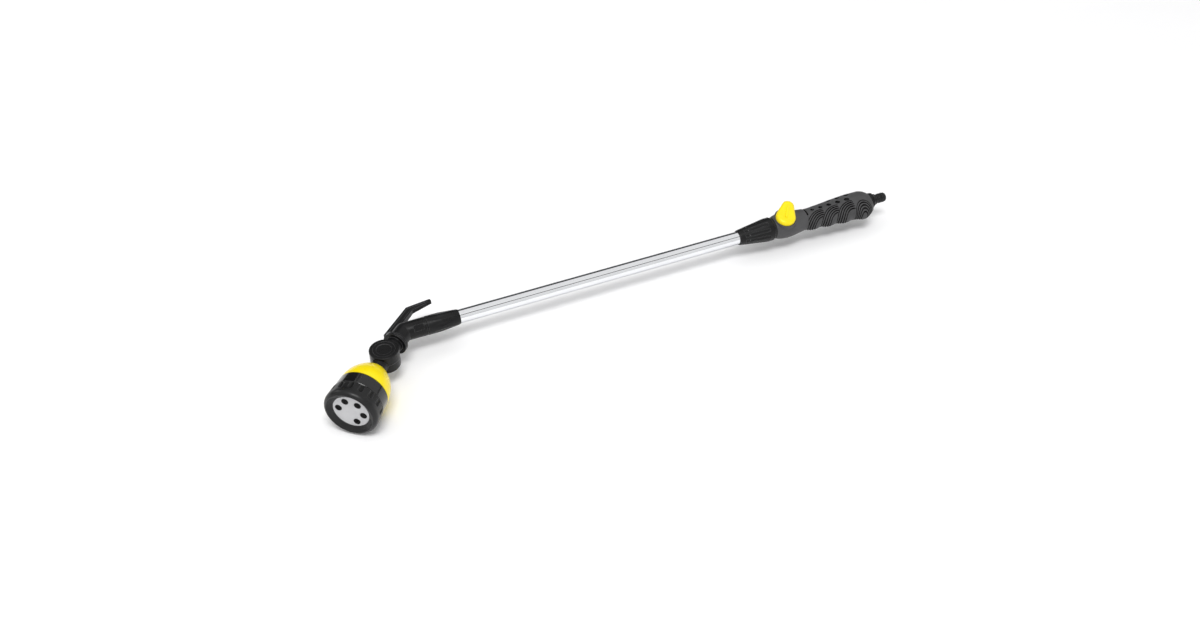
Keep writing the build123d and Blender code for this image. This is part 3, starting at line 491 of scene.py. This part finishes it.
def knobPoint(point, v):
    turn = -math.radians(v["turned"])
    x = point[0] * math.cos(turn) - point[1] * math.sin(turn)
    y = point[0] * math.sin(turn) + point[1] * math.cos(turn)
    return gripPoint(v["x"] + x, y, point[2])


def knobLoft(name, layers, loopAt, v):
    return loftLoops(name, [[knobPoint(point, v) for point in loopAt(z, inset, v)] for z, inset in layers])


def makeKnob(v):
    lever = knobLoft("flowKnob", v["lever"], eggLoop, v)
    base = knobLoft("flowKnobBase", v["base"], baseLoop, v)
    rib = knobLoft("flowKnobRib", v["rib"], ribLoop, v)
    for piece in (lever, base, rib):
        dress(piece, materials["yellow_plastic"])
        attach(piece, "flow_knob")
    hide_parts("flow_knob")


makeKnob(knobValues)
print("flow knob")


# floor, lights and camera

floorValues = dict(size=30.0, colour=(0.95, 0.95, 0.955), cloud=0.012, cloudScale=3, rough=(0.85, 0.95))


def makeFloor(v):
    lowest = cadBox[0][2]
    half = v["size"] / 2
    corners = [(-half, -half, lowest), (half, -half, lowest), (half, half, lowest), (-half, half, lowest)]
    floor = newMesh("floor", corners, [(0, 1, 2, 3)])
    material, shader, add, link = newMaterial("floorPaper")
    cloud = noiseAt(add, link, add("ShaderNodeTexCoord").outputs["Object"], v["cloudScale"], 3)
    lighter = tuple(level + v["cloud"] for level in v["colour"])
    colour = mixColour(add, link, remap(add, link, cloud, 0, 1), v["colour"], lighter)
    link(colour, shader.inputs["Base Color"])
    link(remap(add, link, cloud, *v["rough"]), shader.inputs["Roughness"])
    dress(floor, material)


# brightness at each angle in degrees about the tube: front panel, dark gap, overhead panel, dark back

worldValues = dict(
    strength=0.85,
    bands=((0, 0.9), (49, 1.0), (52, 0.05), (58, 0.05), (61, 1.0), (132, 1.0), (141, 0.10), (180, 0.06)))


def makeWorld(v):
    world = bpy.data.worlds.new("studio")
    bpy.context.scene.world = world
    world.use_nodes = True
    background = world.node_tree.nodes["Background"]
    add, link = treeTools(world.node_tree)
    split = add("ShaderNodeSeparateXYZ")
    link(add("ShaderNodeTexCoord").outputs["Generated"], split.inputs[0])
    flip = add("ShaderNodeMath", operation="MULTIPLY")
    link(split.outputs["Y"], flip.inputs[0])
    flip.inputs[1].default_value = -1.0
    spread = add("ShaderNodeMath", operation="MULTIPLY")
    link(combine(add, link, "ARCTAN2", split.outputs["Z"], flip.outputs[0]), spread.inputs[0])
    spread.inputs[1].default_value = 1 / math.pi
    ramp = add("ShaderNodeValToRGB")
    link(spread.outputs[0], ramp.inputs["Fac"])
    stops = ramp.color_ramp.elements
    stops.remove(stops[1])
    for i, (degrees, level) in enumerate(v["bands"]):
        stop = stops[0] if i == 0 else stops.new(degrees / 180)
        stop.position = degrees / 180
        stop.color = (level, level, level, 1)
    link(ramp.outputs["Color"], background.inputs["Color"])
    background.inputs["Strength"].default_value = v["strength"]


lampValues = {
    "keyLight": dict(place=(-1.2, -1.8, 4.7), target=(-0.4, 0, 0), size=(2.3, 1.6), power=135.0),
    "rimLight": dict(place=(-1.9, 1.3, 1.0), target=(-0.45, 0, 0), size=(0.8, 0.5), power=4.0),
}


def makeLamp(name, v):
    data = bpy.data.lights.new(name, "AREA")
    data.shape = "RECTANGLE"
    data.size, data.size_y = v["size"]
    data.energy = v["power"]
    lamp = bpy.data.objects.new(name, data)
    bpy.context.scene.collection.objects.link(lamp)
    lamp.location = v["place"]
    lamp.rotation_euler = (Vector(v["target"]) - Vector(v["place"])).to_track_quat("-Z", "Y").to_euler()


cameraValues = dict(azimuth=24.175, elevation=40.840, roll=0.026, distance=1.58951,
                    target=(-0.50080, -0.07503, 0.0), lens=35.2683, sensor=36, farClip=50)


def makeCamera(v):
    a, e = math.radians(v["azimuth"]), math.radians(v["elevation"])
    look = Vector((math.sin(a) * math.cos(e), math.cos(a) * math.cos(e), -math.sin(e)))
    right = Vector((math.cos(a), -math.sin(a), 0))
    up = right.cross(look)
    turn = math.radians(v["roll"])
    right, up = right * math.cos(turn) + up * math.sin(turn), up * math.cos(turn) - right * math.sin(turn)
    data = bpy.data.cameras.new("camera")
    data.sensor_width = v["sensor"]
    data.lens = v["lens"]
    data.clip_end = v["farClip"]
    camera = bpy.data.objects.new("camera", data)
    bpy.context.scene.collection.objects.link(camera)
    place = Vector(v["target"]) - look * v["distance"]
    camera.matrix_world = Matrix((
        (right.x, up.x, -look.x, place.x), (right.y, up.y, -look.y, place.y),
        (right.z, up.z, -look.z, place.z), (0, 0, 0, 1)))
    bpy.context.scene.camera = camera


makeFloor(floorValues)
makeWorld(worldValues)
for lampName, lamp in lampValues.items():
    makeLamp(lampName, lamp)
makeCamera(cameraValues)
bpy.context.scene.view_settings.view_transform = "Standard"
print("stage and camera")
